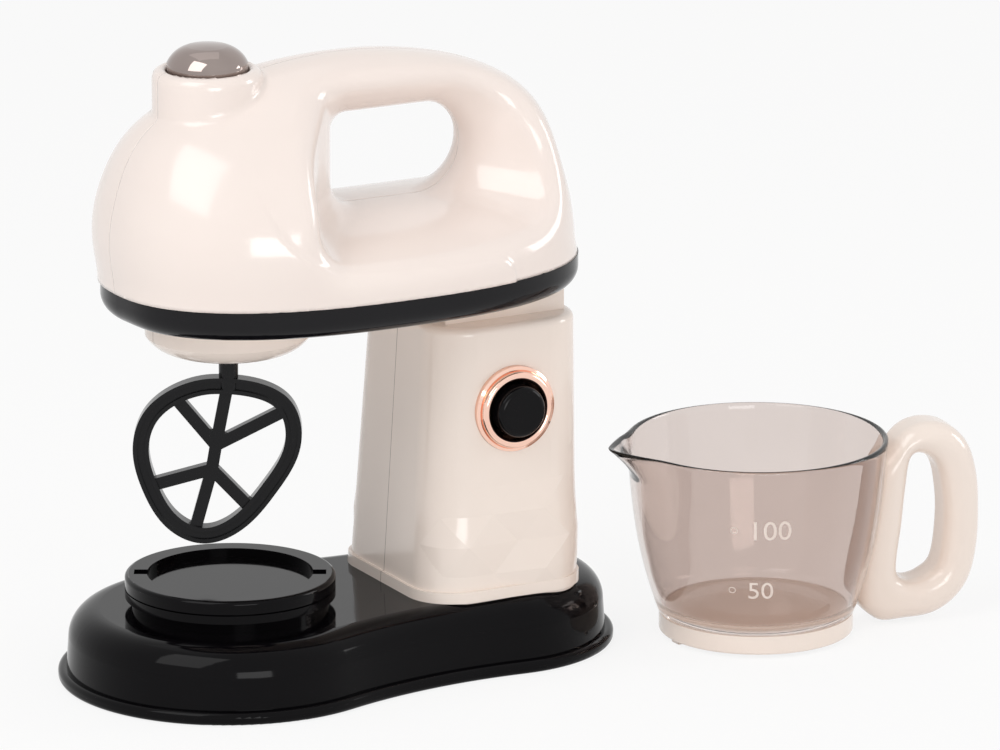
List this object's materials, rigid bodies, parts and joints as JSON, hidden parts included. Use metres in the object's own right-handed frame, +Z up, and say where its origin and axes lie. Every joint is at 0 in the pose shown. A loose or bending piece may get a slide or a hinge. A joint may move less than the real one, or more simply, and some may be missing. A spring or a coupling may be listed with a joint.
{
  "type": "toy stand mixer",
  "caption": "Toy stand mixer with a tilting head, a turning beater, push buttons, and a clear bowl with a spout and a handle standing beside it.",
  "frame": {"origin": "on the floor under the beater's axis, at the underside of the base", "axes": "+X from the nose of the head to the column and on towards the bowl, +Y to the side without a button, +Z up"},
  "size_m": [0.2923, 0.1302, 0.2014],
  "materials": {
    "head_cream": "glossy moulded plastic, warm cream with a pink cast",
    "column_cream": "glossy moulded plastic, warm cream",
    "base_black": "high gloss black plastic",
    "band_black": "high gloss black plastic",
    "beater_black": "gloss black plastic with raised borders",
    "button_black": "gloss black plastic",
    "rose_gold": "rose gold plating on plastic",
    "button_chrome": "dark nickel chrome plating on plastic",
    "bowl_smoke": "transparent smoke brown plastic",
    "inner_white": "plain moulded plastic",
    "gear_white": "natural acetal",
    "switch_black": "moulded switch body",
    "steel": "plated steel",
    "brass": "turned brass",
    "contact_metal": "nickel plated spring steel",
    "cell_grey": "plain sleeve",
    "magnet_grey": "sintered ferrite"
  },
  "bodies": {
    "stand": {"base_plate": "base_black", "base_shell": "base_black", "base_screws": "steel", "battery_door": "base_black", "battery_cells": "cell_grey", "battery_contacts": "contact_metal", "bowl_seat": "base_black", "seat_screws": "steel", "column_left": "column_cream", "column_right": "column_cream", "column_screws": "steel", "column_side_screws": "steel", "button_bezel": "rose_gold", "power_switch": "switch_black", "switch_bracket": "inner_white", "hinge_pin": "steel", "hinge_washers": "inner_white"},
    "head": {"band_left": "band_black", "band_right": "band_black", "head_cover": "column_cream", "cover_screws": "steel", "gearbox_dome": "column_cream", "dome_screws": "steel", "gear_plate": "inner_white", "plate_screws": "steel", "gear_axle": "steel", "motor_can": "steel", "motor_end_cap": "inner_white", "motor_magnets": "magnet_grey", "motor_strap": "inner_white", "head_left": "head_cream", "head_right": "head_cream", "head_screws": "steel", "motor_switch": "switch_black", "motor_switch_bracket": "inner_white"},
    "rotor": {"motor_shaft": "steel", "motor_armature": "steel", "motor_pinion": "brass"},
    "reduction": {"reduction_gear": "gear_white"},
    "spindle": {"spindle_gear": "gear_white", "beater": "beater_black"},
    "top_button": {"top_button": "button_chrome", "top_button_stem": "inner_white"},
    "side_button": {"side_button": "button_black", "side_switch_stem": "switch_black"},
    "bowl": {"bowl": "bowl_smoke", "bowl_ring": "column_cream", "bowl_handle": "column_cream"}
  },
  "joints": [
    {"name": "head_tilt", "type": "hinge", "parent": "stand", "child": "head", "pos_m": [0.097, 0, 0.122], "axis": [0, 1, 0], "range_deg": [0, 30]},
    {"name": "beater_spin", "type": "hinge", "parent": "head", "child": "spindle", "pos_m": [0, 0, 0.11], "axis": [0, 0, 1], "continuous": true},
    {"name": "reduction_spin", "type": "hinge", "parent": "head", "child": "reduction", "pos_m": [-0.018, 0, 0.115], "axis": [0, 0, 1], "continuous": true},
    {"name": "motor_spin", "type": "hinge", "parent": "head", "child": "rotor", "pos_m": [-0.0111, 0.01195, 0.13], "axis": [0, 0, 1], "continuous": true},
    {"name": "top_button_press", "type": "slide", "parent": "head", "child": "top_button", "axis": [0, 0, -1], "range_m": [0, 0.0025], "stiffness_N_per_m": 400, "springref_m": -0.001},
    {"name": "side_button_press", "type": "slide", "parent": "stand", "child": "side_button", "axis": [0, 1, 0], "range_m": [0, 0.0025], "stiffness_N_per_m": 400, "springref_m": -0.001},
    {"name": "bowl_lift", "type": "slide", "parent": "stand", "child": "bowl", "axis": [0, 0, 1], "range_m": [0, 0.05]}
  ],
  "couplings": [
    {"joint": "reduction_spin", "follows": "beater_spin", "ratio": -4},
    {"joint": "motor_spin", "follows": "beater_spin", "ratio": 14.4}
  ]
}
